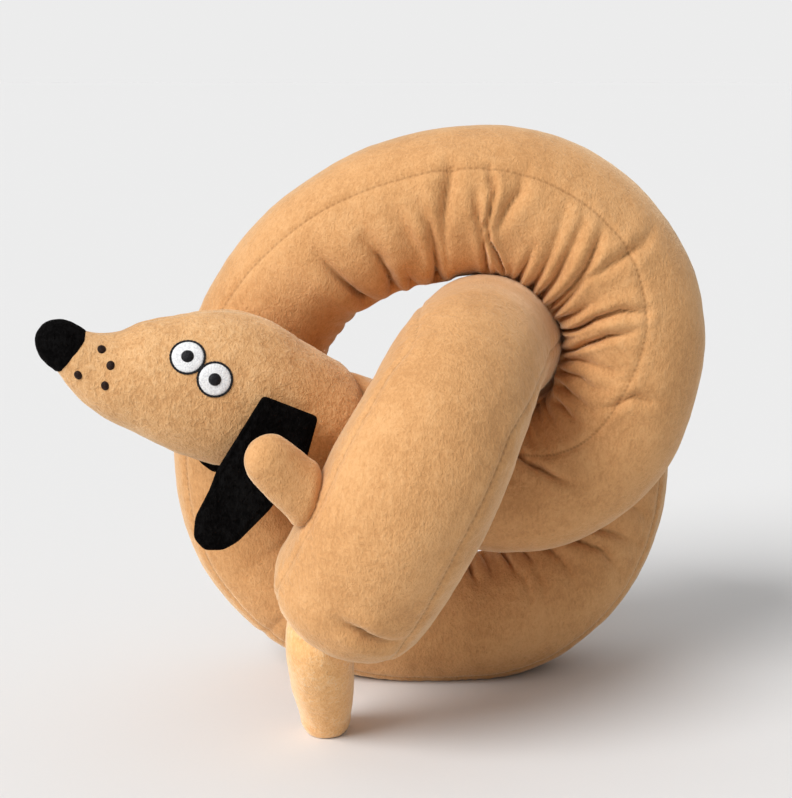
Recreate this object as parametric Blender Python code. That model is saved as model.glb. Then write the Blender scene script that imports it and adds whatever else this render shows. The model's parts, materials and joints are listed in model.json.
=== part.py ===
"""Long stuffed dachshund: a plush tube body wound into a loose knot, with head, ears, legs and tail.

Metres, +Z up. X runs from the nose side to the loop side, -Y faces the eyes' side.
The body tube is sewn from four lengths, each of a back panel and a belly panel round its stuffing.
"""

import math

import bmesh
import bpy
from mathutils import Matrix, Vector
from mathutils.bvhtree import BVHTree

MM = 0.001
SKIN = 1.0 * MM
GAP = 0.3 * MM
SIDES = 16
STEP = 19.0 * MM
NECK_GAP = 6.5 * MM
RUMP_GAP = 4.5 * MM
FLOOR = 0.0
# the rump's end is a dome a little flatter than a ball
DOME = 0.76
DOME_RINGS = (24, 46, 64)
MIDDLE_R = 35.0 * MM

# centre line of the body tube and its radius, from the neck to the rump, in millimetres
ROUTE = [
    (-41, -32, 156, 33), (-17, -12, 141, 34), (11, 3, 128, 34.5), (45, 9, 115, 36),
    (79, 9, 117, 36.5), (109, 4, 139, 36), (122.6, -2, 176, 34.8), (121.6, -4, 213, 34.8),
    (100, -2, 245, 36.5), (69, 0, 264, 37), (37, 2, 267, 37), (2, 4, 260, 36),
    (-29, 8, 245, 35), (-53, 15, 223, 35), (-71, 23, 195, 35.5), (-82, 30, 162, 36),
    (-85, 34, 128, 36), (-82, 36, 96, 36), (-69, 36, 66, 35), (-42, 36, 42, 35),
    (-8, 36, 31, 35), (29, 37, 30, 35), (64, 42, 32, 35), (92, 50, 47.5, 35),
    (112, 61, 73.5, 35), (121, 73, 105, 35), (118, 83, 136, 35), (101, 84, 163, 35),
    (76, 66, 181, 34), (57, 29, 189, 33), (46, -10, 193.5, 34.5), (36, -48, 191.5, 36.5),
    (25, -77, 175, 38.5), (12, -91, 151, 40.5), (-2, -89.5, 122, 40.5), (-14, -80, 96, 40.5),
    (-19.4, -75.1, 86.8, 40.5),
]
# where the tube's lengths meet, measured along it from the neck, in millimetres
CROWN_SEAM = 353.5
FLOOR_SEAM = 655.5
RUMP_HINGE = 1123.5
# roll of the lengthwise seams about the tube, as (distance in millimetres, degrees)
SEAM_ROLL = [
    (0, -62), (120, -50), (173.5, -30), (213.5, -14), (248.5, 4), (283.5, 19), (353.5, 27), (483.5, 33),
    (763.5, 35), (903.5, 10), (1043.5, -5), (1095.5, -14), (1126.5, -8), (1145.5, 4), (1300, 0),
]
# where the second seam lies from the first: the belly panel widens over the rump
SECOND_SEAM = [(0, 180), (1043.5, 180), (1133.5, 106), (1300, 106)]

# head sections from the nose's edge to the neck: centre, half height, half width, in millimetres
HEAD = [
    (-155, -65, 201, 11.5, 11.0), (-146, -62, 194, 16.2, 15.0), (-134, -59, 188, 22.5, 20.0),
    (-120, -56, 185.6, 28.4, 24.5), (-105, -53, 183, 33.6, 27.5), (-90, -50, 180.6, 37.2, 29.5),
    (-76, -47, 177, 37.8, 30.5), (-62, -42.5, 169, 35.4, 31.5),
]
HEAD_SIDES = 24
NOSE_R = 11.3 * MM
NOSE_LENGTH = 17.0 * MM
NOSE_BAND = 4.5 * MM
NOSE_RINGS = (0, 0, 25, 48, 68, 82)
NOSE_SIDES = 20
EYE_R = 8.2 * MM
EYE_LINE = 0.9 * MM
EYE_GAP = 0.35 * MM
EYES = {"upper": (-97.4, 199.2), "lower": (-84.7, 188.9)}
PUPIL_R = 3.1 * MM
FRECKLE_R = 2.0 * MM
FRECKLES = [(-138.1, 202.3), (-133.5, 195.3), (-149.0, 190.5), (-136.2, 185.8)]
# how high the embroidery stands off the head: white and outline, pupil over them, freckle
EYE_LIFT = 0.5 * MM
PUPIL_LIFT = 1.5 * MM
FRECKLE_LIFT = 0.4 * MM
STITCH = 0.6 * MM
EAR_CLOTH = 1.2 * MM
CORE = (11.0 * MM, 11.0 * MM, 5.0 * MM)
LIMB_SIDES = 12
LIMB_GAP = 3.2 * MM
TAIL_GAP = 4.6 * MM
STUFFING_GAP = 1.3 * MM
# the foot's stuffing lies this far above the floor and this much inside its skin
SOLE = SKIN + GAP
FOOT_INSET = SKIN + 3 * GAP
# straight edges of the ears first, in millimetres
NEAR_EAR = [
    (-62, -81.5, 182), (-36.5, -77.5, 171), (-42, -79.6, 151), (-60, -82.6, 127),
    (-75, -83.6, 112), (-82, -83.8, 108), (-91, -83.8, 108), (-96, -83.8, 114),
    (-95, -83.8, 124), (-88, -83.6, 137), (-84, -83.4, 147), (-72, -82.8, 166),
]
FAR_EAR = [
    (-101, -20.3, 185), (-80, -14.3, 181), (-78, -13, 160), (-77, -12.2, 141), (-80, -12.2, 130),
    (-87, -12.6, 126), (-95, -13.2, 127.5), (-101, -14, 132.5), (-104, -15.2, 141), (-104, -18, 164),
]
# puts the origin under the middle of the whole toy
CENTRE = Vector((6.4, 6.2, 0)) * MM
# where the limbs are sewn on
HIND_NEAR = Vector((-40, -95, 136)) * MM
HIND_FAR = Vector((27, -55, 121)) * MM
FRONT_NEAR = Vector((9, -18, 99)) * MM
FRONT_FAR = Vector((12, 35, 111)) * MM
TAIL = Vector((-37, -77, 54)) * MM
TAIL_TIP = Vector((-36, -42, -3)) * MM


def clear_scene():
    for obj in list(bpy.data.objects):
        bpy.data.objects.remove(obj, do_unlink=True)


def lerp(a, b, t):
    return a + (b - a) * t


def catmull(rows, step):
    """The rows joined by a smooth curve: a fine list of (centre, radius), in metres."""
    rows = [[value * MM for value in row] for row in rows]
    first = [2 * a - b for a, b in zip(rows[0], rows[1])]
    last = [2 * a - b for a, b in zip(rows[-1], rows[-2])]
    rows = [first] + rows + [last]
    fine = []
    for i in range(1, len(rows) - 2):
        p0, p1, p2, p3 = rows[i - 1 : i + 3]
        span = math.dist(p1[:3], p2[:3])
        count = max(2, round(span / step))
        for k in range(count):
            t = k / count
            fine.append([
                0.5 * (2 * b + (c - a) * t + (2 * a - 5 * b + 4 * c - d) * t * t
                       + (3 * b - a - 3 * c + d) * t ** 3)
                for a, b, c, d in zip(p0, p1, p2, p3)
            ])
    fine.append(rows[-2])
    return fine


def smoothed(fine, passes):
    for _ in range(passes):
        inner = [
            [0.25 * a + 0.5 * b + 0.25 * c for a, b, c in zip(fine[i - 1], fine[i], fine[i + 1])]
            for i in range(1, len(fine) - 1)
        ]
        fine = [fine[0]] + inner + [fine[-1]]
    return fine


class Path:
    """The tube's centre line with a frame that turns as little as it can."""

    def __init__(self, rows):
        fine = smoothed(catmull(rows, 2.0 * MM), 60)
        self.points = [Vector(row[:3]) for row in fine]
        self.radii = [row[3] for row in fine]
        self.at = [0.0]
        for a, b in zip(self.points, self.points[1:]):
            self.at.append(self.at[-1] + (b - a).length)
        self.length = self.at[-1]
        count = len(self.points)
        self.tangents = [
            (self.points[min(i + 1, count - 1)] - self.points[max(i - 1, 0)]).normalized()
            for i in range(count)
        ]
        side = Vector((0, -1, 0))
        self.sides = []
        for tangent in self.tangents:
            side = (side - tangent * side.dot(tangent)).normalized()
            self.sides.append(side)

    def sample(self, s):
        s = min(max(s, 0.0), self.length)
        i = 0
        while i < len(self.at) - 2 and self.at[i + 1] < s:
            i += 1
        t = (s - self.at[i]) / (self.at[i + 1] - self.at[i])
        centre = self.points[i].lerp(self.points[i + 1], t)
        tangent = self.tangents[i].lerp(self.tangents[i + 1], t).normalized()
        side = self.sides[i].lerp(self.sides[i + 1], t)
        side = (side - tangent * side.dot(tangent)).normalized()
        return centre, tangent, side, lerp(self.radii[i], self.radii[i + 1], t)


def along(table, s):
    """The angle that a table of (millimetres, degrees) gives at distance s."""
    s = s / MM
    for (s0, a0), (s1, a1) in zip(table, table[1:]):
        if s <= s1:
            return math.radians(lerp(a0, a1, (s - s0) / (s1 - s0)))
    return math.radians(table[-1][1])


def new_object(name, verts, faces):
    mesh = bpy.data.meshes.new(name)
    mesh.from_pydata([tuple(v) for v in verts], [], faces)
    obj = bpy.data.objects.new(name, mesh)
    TOY.objects.link(obj)
    work = bmesh.new()
    work.from_mesh(mesh)
    bmesh.ops.remove_doubles(work, verts=work.verts, dist=1e-6)
    bmesh.ops.recalc_face_normals(work, faces=work.faces)
    if work.calc_volume(signed=True) < 0:
        bmesh.ops.reverse_faces(work, faces=work.faces)
    work.to_mesh(mesh)
    work.free()
    return obj


def solid_loft(name, rings, poles=(None, None)):
    """A closed solid through rings of equal count, with flat ends or a point at either end."""
    count = len(rings[0])
    verts = [v for ring in rings for v in ring]
    faces = []
    for i in range(len(rings) - 1):
        for k in range(count):
            n = (k + 1) % count
            faces.append((i * count + k, i * count + n, (i + 1) * count + n, (i + 1) * count + k))
    for end, pole in zip((0, len(rings) - 1), poles):
        loop = [end * count + k for k in range(count)]
        if pole is None:
            faces.append(tuple(loop))
            continue
        verts.append(pole)
        for k in range(count):
            faces.append((loop[k], loop[(k + 1) % count], len(verts) - 1))
    return new_object(name, verts, faces)


def shell_loft(name, outer, inner, closed=False, pole=None):
    """A sheet between outer rings and inner rings. Open strips get edges; a pole closes the far end."""
    count = len(outer[0])
    rows = len(outer)
    verts = [v for ring in outer for v in ring] + [v for ring in inner for v in ring]
    base = rows * count
    faces = []
    steps = count if closed else count - 1
    for i in range(rows - 1):
        for k in range(steps):
            n = (k + 1) % count
            a, b = i * count + k, i * count + n
            c, d = (i + 1) * count + n, (i + 1) * count + k
            faces.append((a, b, c, d))
            faces.append((base + a, base + d, base + c, base + b))
    for k in range(steps):
        n = (k + 1) % count
        faces.append((k, base + k, base + n, n))
    last = (rows - 1) * count
    if pole is None:
        for k in range(steps):
            n = (k + 1) % count
            faces.append((last + k, last + n, base + last + n, base + last + k))
    else:
        verts += list(pole)
        for k in range(steps):
            n = (k + 1) % count
            faces.append((last + k, last + n, len(verts) - 2))
            faces.append((base + last + n, base + last + k, len(verts) - 1))
    if not closed:
        for i in range(rows - 1):
            for k in (0, count - 1):
                a, b = i * count + k, (i + 1) * count + k
                faces.append((a, b, base + b, base + a))
    return new_object(name, verts, faces)


def on_floor(point, least):
    return Vector((point.x, point.y, max(point.z, FLOOR + least)))


def tube_ring(s, angles, inset, dome=None):
    """Points round the tube at distance s, or on the dome past it."""
    centre, tangent, side, radius = PATH.sample(s)
    other = tangent.cross(side)
    roll = along(SEAM_ROLL, s)
    radius = radius - inset
    if dome is not None:
        centre = centre + tangent * radius * DOME * math.sin(dome)
        radius = radius * math.cos(dome)
    ring = []
    for angle in angles:
        direction = side * math.cos(angle + roll) + other * math.sin(angle + roll)
        ring.append(on_floor(centre + direction * radius, inset))
    return ring


def stations(start, end):
    count = max(2, round((end - start) / STEP))
    return [lerp(start, end, k / count) for k in range(count + 1)]


def tube_length(name, start, end, domed=False):
    """One length of the body: back panel, belly panel and stuffing."""
    places = [(s, None) for s in stations(start, end)]
    if domed:
        places += [(end, math.radians(a)) for a in DOME_RINGS]
    half = (GAP / 2) / MIDDLE_R
    steps = SIDES // 2
    made = []
    for panel in ("back", "belly"):
        outer = []
        inner = []
        for s, dome in places:
            second = along(SECOND_SEAM, s)
            first, last = (0.0, second) if panel == "back" else (second, 2 * math.pi)
            angles = [lerp(first + half, last - half, k / steps) for k in range(steps + 1)]
            outer.append(tube_ring(s, angles, 0.0, dome))
            inner.append(tube_ring(s, angles, SKIN, dome))
        made.append(shell_loft(f"{name}_{panel}_panel", outer, inner))
    rings = []
    for s, dome in places:
        second = along(SECOND_SEAM, s)
        angles = [lerp(0.0, second, k / steps) for k in range(steps)]
        angles += [lerp(second, 2 * math.pi, k / steps) for k in range(steps)]
        rings.append(tube_ring(s, angles, SKIN + GAP, dome))
    pole = None
    if domed:
        centre, tangent, _, radius = PATH.sample(end)
        pole = centre + tangent * (radius - SKIN - GAP) * DOME
    made.append(solid_loft(f"{name}_stuffing", rings, (None, pole)))
    return made


def head_frames():
    centres = [Vector(row[:3]) * MM for row in HEAD]
    rows = [(row[3] * MM, row[4] * MM) for row in HEAD]
    pivot, normal, _, radius = PATH.sample(NECK_AT)
    centres.append(pivot - normal * NECK_GAP)
    rows.append((radius, radius))
    frames = []
    for i, centre in enumerate(centres):
        tangent = centres[min(i + 1, len(centres) - 1)] - centres[max(i - 1, 0)]
        if i == len(centres) - 1:
            tangent = normal
        tangent = tangent.normalized()
        near = tangent.cross(Vector((0, 0, 1))).normalized()
        up = near.cross(tangent).normalized()
        if up.z < 0:
            up = -up
        if near.y > 0:
            near = -near
        frames.append((centre, near, up, rows[i]))
    return frames


def head_ring(frame, angles, inset):
    centre, near, up, (high, wide) = frame
    return [
        centre + up * (high - inset) * math.cos(a) + near * (wide - inset) * math.sin(a)
        for a in angles
    ]


def limb(name, base, tip, radii, target, lift=LIMB_GAP, flat=1.0, foot=False):
    """A stuffed stub: radii along it from the base, a rounded tip, its base laid on the target."""
    axis = (tip - base).normalized()
    length = (tip - base).length
    across = axis.cross(Vector((0, 1, 0)))
    if across.length < 0.2:
        across = axis.cross(Vector((1, 0, 0)))
    across = across.normalized()
    other = axis.cross(across).normalized()
    angles = [2 * math.pi * k / LIMB_SIDES for k in range(LIMB_SIDES)]

    def ring(distance, radius):
        centre = base + axis * distance
        return [
            centre + across * radius * math.cos(a) + other * radius * flat * math.sin(a)
            for a in angles
        ]

    def laid(points, lift):
        out = []
        for point in points:
            start = point + axis * 30 * MM
            hit = target.ray_cast(start, -axis)[0]
            out.append(point if hit is None else hit + axis * lift)
        return out

    def rings(inset, lift):
        out = [laid(ring(0.0, radii[0] - inset), lift)]
        for k, radius in enumerate(radii[1:], 1):
            out.append(ring(length * k / len(radii), radius - inset))
        last = radii[-1] - inset
        at = length * (len(radii) - 1) / len(radii)
        reach = length - at - inset
        for a in (35, 62):
            angle = math.radians(a)
            out.append(ring(at + reach * math.sin(angle), last * math.cos(angle)))
        if foot:
            out = [[on_floor(p, min(inset, SOLE)) for p in points] for points in out]
        return out, on_floor(base + axis * (length - inset), min(inset, SOLE) if foot else -1.0)

    outer, outer_pole = rings(0.0, lift)
    inner, inner_pole = rings(SKIN, lift)
    shell = shell_loft(f"{name}_skin", outer, inner, closed=True, pole=(outer_pole, inner_pole))
    fill, fill_pole = rings(FOOT_INSET if foot else SKIN + GAP, lift + STUFFING_GAP)
    base_pole = laid([base], lift + STUFFING_GAP)[0]
    stuffing = solid_loft(f"{name}_stuffing", fill, (base_pole, fill_pole))
    return [shell, stuffing]


def patch(name, centre, radius, lift, inner_radius=0.0, rings=3, count=24):
    """A disc or ring of stitching laid on the head, facing the eyes' side."""
    towards = Vector((0, -1, 0))
    hit, normal, _, _ = HEAD_TREE.ray_cast(centre + towards * 0.05, -towards)
    right = Vector((0, 0, 1)).cross(normal).normalized()
    above = normal.cross(right).normalized()

    def point(r, angle, height):
        start = hit + (right * math.cos(angle) + above * math.sin(angle)) * r + normal * 0.02
        found, _, _, _ = HEAD_TREE.ray_cast(start, -normal)
        return found + normal * height

    levels = []
    for height in (lift, lift + STITCH):
        rows = []
        for i in range(rings + 1):
            r = lerp(inner_radius, radius, i / rings)
            if r == 0.0:
                continue
            rows.append([point(r, 2 * math.pi * k / count, height) for k in range(count)])
        levels.append(rows)
    low, high = levels
    verts = []
    faces = []

    def add(row):
        verts.extend(row)
        return list(range(len(verts) - len(row), len(verts)))

    low_ids = [add(row) for row in low]
    high_ids = [add(row) for row in high]
    for ids, flip in ((low_ids, True), (high_ids, False)):
        for a, b in zip(ids, ids[1:]):
            for k in range(count):
                n = (k + 1) % count
                quad = (a[k], a[n], b[n], b[k])
                faces.append(quad[::-1] if flip else quad)
    for k in range(count):
        n = (k + 1) % count
        faces.append((low_ids[-1][k], low_ids[-1][n], high_ids[-1][n], high_ids[-1][k]))
        if inner_radius:
            faces.append((low_ids[0][n], low_ids[0][k], high_ids[0][k], high_ids[0][n]))
    if not inner_radius:
        verts.append(point(0.0, 0.0, lift))
        verts.append(point(0.0, 0.0, lift + STITCH))
        for k in range(count):
            n = (k + 1) % count
            faces.append((low_ids[0][n], low_ids[0][k], len(verts) - 2))
            faces.append((high_ids[0][k], high_ids[0][n], len(verts) - 1))
    return new_object(name, verts, faces)


def ear(name, outline, out):
    """A flap of two layers of fabric. The outline runs round it, first along the sewn edge."""
    made = []
    for layer, start in (("front", GAP / 2), ("lining", -GAP / 2 - EAR_CLOTH)):
        low = [Vector(p) * MM + out * start for p in outline]
        low.append(sum(low, Vector()) / len(low))
        high = [p + out * EAR_CLOTH for p in low]
        count = len(outline)
        faces = []
        for k in range(count):
            n = (k + 1) % count
            faces.append((k, n, count))
            faces.append((count + 1 + n, count + 1 + k, 2 * count + 1))
            faces.append((k, count + 1 + k, count + 1 + n, n))
        made.append(new_object(f"{name}_{layer}", low + high, faces))
    return made


def set_origin(objects, place):
    for obj in objects:
        obj.data.transform(Matrix.Translation(-Vector(place)))
        obj.location = place


def material(name, colour, roughness, sheen=0.0):
    mat = bpy.data.materials.new(name)
    mat.use_nodes = True
    shader = mat.node_tree.nodes["Principled BSDF"]
    shader.inputs["Base Color"].default_value = (*colour, 1.0)
    shader.inputs["Roughness"].default_value = roughness
    shader.inputs["Sheen Weight"].default_value = sheen
    mat.diffuse_color = (*colour, 1.0)
    return mat


def tree_of(objects):
    verts = []
    faces = []
    for obj in objects:
        base = len(verts)
        verts += [obj.matrix_world @ v.co for v in obj.data.vertices]
        faces += [tuple(base + i for i in p.vertices) for p in obj.data.polygons]
    return BVHTree.FromPolygons(verts, faces)


clear_scene()
TOY = bpy.data.collections.new("Long_plush_dachshund")
bpy.context.scene.collection.children.link(TOY)
PATH = Path(ROUTE)
NECK_AT = 5.0 * MM
NECK = PATH.sample(NECK_AT)[0]
HINGE = PATH.sample(RUMP_HINGE * MM)

# the body tube
neck_parts = tube_length("neck", NECK_AT + NECK_GAP, CROWN_SEAM * MM - GAP)
loop_parts = tube_length("loop", CROWN_SEAM * MM + GAP, FLOOR_SEAM * MM - GAP)
middle_parts = tube_length("middle", FLOOR_SEAM * MM + GAP, RUMP_HINGE * MM - RUMP_GAP)
rump_parts = tube_length("rump", RUMP_HINGE * MM + RUMP_GAP, PATH.length, domed=True)

# the soft core that shows between the neck and the head
bpy.ops.mesh.primitive_uv_sphere_add(segments=16, ring_count=10, radius=1.0, location=NECK)
core = bpy.context.object
core.name = "neck_core"
core.scale = CORE
core.rotation_euler = PATH.sample(NECK_AT)[1].to_track_quat("Z", "Y").to_euler()
for owner in list(core.users_collection):
    owner.objects.unlink(core)
TOY.objects.link(core)

# the head: a near side and a far side, joined along the crown and the jaw
frames = head_frames()
half_gap = (GAP / 2) / (30 * MM)
head_parts = []
for side, first in (("near", 0.0), ("far", math.pi)):
    steps = HEAD_SIDES // 2
    angles = [first + half_gap + (math.pi - 2 * half_gap) * k / steps for k in range(steps + 1)]
    outer = [head_ring(f, angles, 0.0) for f in frames]
    inner = [head_ring(f, angles, SKIN) for f in frames]
    head_parts.append(shell_loft(f"head_{side}_side", outer, inner))
angles = [2 * math.pi * k / HEAD_SIDES for k in range(HEAD_SIDES)]
head_parts.append(
    solid_loft("head_stuffing", [head_ring(f, angles, SKIN + GAP) for f in frames])
)
HEAD_TREE = tree_of(head_parts[:2])

# the nose: a dome on the muzzle's end
muzzle, near, up, _ = frames[0]
nose_axis = near.cross(up).normalized()
if nose_axis.x > 0:
    nose_axis = -nose_axis
nose_rings = []
for a in NOSE_RINGS:
    angle = math.radians(a)
    lift = GAP + (NOSE_BAND if nose_rings else 0.0)
    place = muzzle + nose_axis * (lift + (NOSE_LENGTH - NOSE_BAND) * math.sin(angle))
    size = NOSE_R * math.cos(angle) * (1.0 if nose_rings else 0.98)
    nose_rings.append([
        place + up * size * math.cos(t) + near * size * math.sin(t)
        for t in [2 * math.pi * k / NOSE_SIDES for k in range(NOSE_SIDES)]
    ])
nose = solid_loft("nose", nose_rings, (None, muzzle + nose_axis * (GAP + NOSE_LENGTH)))

# the embroidered eyes and freckles
eye_parts = []
for which, (x, z) in EYES.items():
    spot = Vector((x, -80, z)) * MM
    inside = EYE_R - EYE_LINE - EYE_GAP
    eye_parts.append(patch(f"eye_white_{which}", spot, inside, EYE_LIFT))
    eye_parts.append(patch(f"eye_line_{which}", spot, EYE_R, EYE_LIFT, EYE_R - EYE_LINE, 1))
    eye_parts.append(patch(f"pupil_{which}", spot, PUPIL_R, PUPIL_LIFT, rings=2, count=16))
for k, (x, z) in enumerate(FRECKLES, 1):
    spot = Vector((x, -80, z)) * MM
    eye_parts.append(patch(f"freckle_{k}", spot, FRECKLE_R, FRECKLE_LIFT, rings=1, count=10))

# the ears, sewn along their straight top edges
near_ear = ear("near_ear", NEAR_EAR, Vector((0.14, -0.99, 0.0)).normalized())
far_ear = ear("far_ear", FAR_EAR, Vector((-0.2, 0.98, 0.0)).normalized())

# the legs and the tail
neck_tree = tree_of(neck_parts[:2])
rump_tree = tree_of(rump_parts)
hind_near = limb(
    "hind_leg_near", HIND_NEAR, Vector((-65, -106.5, 165)) * MM,
    [13.8 * MM, 13.4 * MM, 13.0 * MM, 12.0 * MM], rump_tree, flat=0.92,
)
hind_far = limb(
    "hind_leg_far", HIND_FAR, Vector((26, -30, 80)) * MM,
    [10.5 * MM, 10.5 * MM, 10.5 * MM, 10.0 * MM], rump_tree,
)
front_near = limb(
    "front_leg_near", FRONT_NEAR, Vector((15, -22, 60)) * MM,
    [11.5 * MM, 11.5 * MM, 11.5 * MM, 11.0 * MM], neck_tree,
)
front_far = limb(
    "front_leg_far", FRONT_FAR, Vector((14, 72, 95)) * MM,
    [11.5 * MM, 11.5 * MM, 11.5 * MM, 11.0 * MM], neck_tree,
)
tail = limb(
    "tail", TAIL, TAIL_TIP,
    [15.3 * MM, 16.1 * MM, 15.4 * MM, 12.9 * MM], rump_tree, lift=TAIL_GAP, foot=True,
)

# every moving piece turns about its own sewn edge
set_origin(head_parts + [nose] + eye_parts, NECK)
set_origin(near_ear, Vector((-49, -80, 176.5)) * MM)
set_origin(far_ear, Vector((-90.5, -17.3, 183)) * MM)
set_origin(rump_parts, HINGE[0])
set_origin(hind_near, HIND_NEAR)
set_origin(hind_far, HIND_FAR)
set_origin(front_near, FRONT_NEAR)
set_origin(front_far, FRONT_FAR)
set_origin(tail, TAIL)

for obj in TOY.objects:
    obj.location = obj.location + CENTRE

PLUSH = (0.60, 0.33, 0.14)
BLACK = (0.012, 0.012, 0.013)
WHITE = (0.85, 0.85, 0.84)
FILL = (0.88, 0.87, 0.84)
for obj in TOY.objects:
    name = obj.name
    if "stuffing" in name or "core" in name:
        colour, rough, sheen = FILL, 0.9, 0.1
    elif "eye_white" in name:
        colour, rough, sheen = WHITE, 0.7, 0.0
    elif "eye_line" in name or "pupil" in name:
        colour, rough, sheen = (0.02, 0.02, 0.025), 0.6, 0.0
    elif "freckle" in name:
        colour, rough, sheen = (0.05, 0.02, 0.01), 0.8, 0.0
    elif "ear" in name or name == "nose":
        colour, rough, sheen = BLACK, 0.9, 0.3
    else:
        colour, rough, sheen = PLUSH, 0.85, 0.4
    obj.data.materials.clear()
    obj.data.materials.append(material(f"{name}_material", colour, rough, sheen))
bpy.context.view_layer.update()
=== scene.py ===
"""Looks of the long plush dachshund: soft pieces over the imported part, plush materials, floor and light.

Lengths are in millimetres until a mesh is made. The body tube follows the part's own route.
"""

import json
import math

import bmesh
import bpy
import numpy as np
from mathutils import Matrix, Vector
from mathutils.bvhtree import BVHTree

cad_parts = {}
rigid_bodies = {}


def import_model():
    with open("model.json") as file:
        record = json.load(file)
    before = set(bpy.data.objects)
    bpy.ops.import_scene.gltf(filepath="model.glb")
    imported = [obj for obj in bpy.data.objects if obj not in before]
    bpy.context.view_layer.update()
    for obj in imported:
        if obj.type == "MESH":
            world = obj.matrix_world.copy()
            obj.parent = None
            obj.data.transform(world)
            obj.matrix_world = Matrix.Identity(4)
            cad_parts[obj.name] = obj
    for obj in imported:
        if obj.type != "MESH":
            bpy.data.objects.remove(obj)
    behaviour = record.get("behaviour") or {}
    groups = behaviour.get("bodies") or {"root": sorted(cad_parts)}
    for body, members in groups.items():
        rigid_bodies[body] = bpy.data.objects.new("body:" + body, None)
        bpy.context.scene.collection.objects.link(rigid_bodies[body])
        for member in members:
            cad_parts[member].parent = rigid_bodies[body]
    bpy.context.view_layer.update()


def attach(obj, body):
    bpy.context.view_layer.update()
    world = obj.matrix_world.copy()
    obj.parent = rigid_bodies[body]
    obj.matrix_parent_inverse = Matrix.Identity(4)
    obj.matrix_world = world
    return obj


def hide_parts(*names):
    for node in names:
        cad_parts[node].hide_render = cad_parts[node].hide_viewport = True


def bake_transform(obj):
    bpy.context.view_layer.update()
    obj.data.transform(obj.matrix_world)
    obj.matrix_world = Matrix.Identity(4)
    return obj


MM = 0.001
# from the route's own origin to the part's, in millimetres
CENTRE = np.array((6.4, 6.2, 0.0))

# centre line of the body tube and its radius, from the neck to the rump
ROUTE = [
    (-41, -32, 156, 33), (-17, -12, 141, 34), (11, 3, 128, 34.5), (45, 9, 115, 36),
    (79, 9, 117, 36.5), (109, 4, 139, 36), (122.6, -2, 176, 34.8), (121.6, -4, 213, 34.8),
    (100, -2, 245, 36.5), (69, 0, 264, 37), (37, 2, 267, 37), (2, 4, 260, 36),
    (-29, 8, 245, 35), (-53, 15, 223, 35), (-71, 23, 195, 35.5), (-82, 30, 162, 36),
    (-85, 34, 128, 36), (-82, 36, 96, 36), (-69, 36, 66, 35), (-42, 36, 42, 35),
    (-8, 36, 31, 35), (29, 37, 30, 35), (64, 42, 32, 35), (92, 50, 47.5, 35),
    (112, 61, 73.5, 35), (121, 73, 105, 35), (118, 83, 136, 35), (101, 84, 163, 35),
    (76, 66, 181, 34), (57, 29, 189, 33), (46, -10, 193.5, 34.5), (36, -48, 191.5, 36.5),
    (25, -77, 175, 38.5), (12, -91, 151, 40.5), (-2, -89.5, 122, 40.5), (-14, -80, 96, 40.5),
    (-19.4, -75.1, 86.8, 40.5),
]
# distances along the route: where the neck starts, the cross seams and the rump's hinge
NECK_AT = 5.0
CROWN_SEAM = 353.5
FLOOR_SEAM = 655.5
HIDDEN_SEAM = 1013.5
RUMP_HINGE = 1123.5
# degrees by which the first lengthwise seam has turned round the tube
SEAM_ROLL = [
    (0, -62), (120, -50), (173.5, -30), (213.5, -14), (248.5, 4), (283.5, 19), (353.5, 27), (483.5, 33),
    (763.5, 35), (903.5, 10), (1043.5, -5), (1095.5, -14), (1126.5, -8), (1145.5, 4), (1300, 0),
]
# the belly panel narrows over the rump: the second seam's degrees from the first
SECOND_SEAM = [(1043.5, 180), (1133.5, 106)]
# length of the rounded rump end as a share of its radius
RUMP_DOME = 0.76
TUBE_STEP = 1.5
TUBE_SIDES = 152
HEAD_SIDES = 120
NOSE_SIDES = 72
STUB_SIDES = 64
DISC_SIDES = 64
# an embroidered patch starts this far under the head's skin
DISC_ROOT = -0.6
# how far from a seam its line of painted shade may reach, and stitches as radians of a wave per mm
SEAM_REACH = 3.0
STITCHES = 2.4
# how far a distance is when nothing is near
FAR = 99.0
# how far the skin may swell towards a neighbouring strand, which is one this far along the tube
OWN_SWELL = 1.9
SAME_STRAND = 120.0
# the stretch of the upper loop that lies beside the head
BESIDE_HEAD = (400, 540)
# depth and width of the dip where the head is sewn to the neck
NECK_DIP, NECK_DIP_WIDTH = 2.6, 4.5
# width of the soft fade from the head's own direction to the neck seam's plane
HEAD_TURN = 26.0
# how deep a stub's base sits in the skin, and how far up the body it may follow it
SINK = 2.0
REACH = 19.0

# head sections from the nose's edge: centre, half height, half width
HEAD = [
    (-155, -65, 201, 11.5, 11.0), (-146, -62, 194, 16.2, 15.0), (-134, -59, 188, 22.5, 20.0),
    (-120, -56, 185.6, 28.4, 24.5), (-105, -53, 183, 33.6, 27.5), (-90, -50, 180.6, 37.2, 29.5),
    (-76, -47, 177, 37.8, 30.5), (-62, -42.5, 169, 35.4, 31.5),
]

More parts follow.
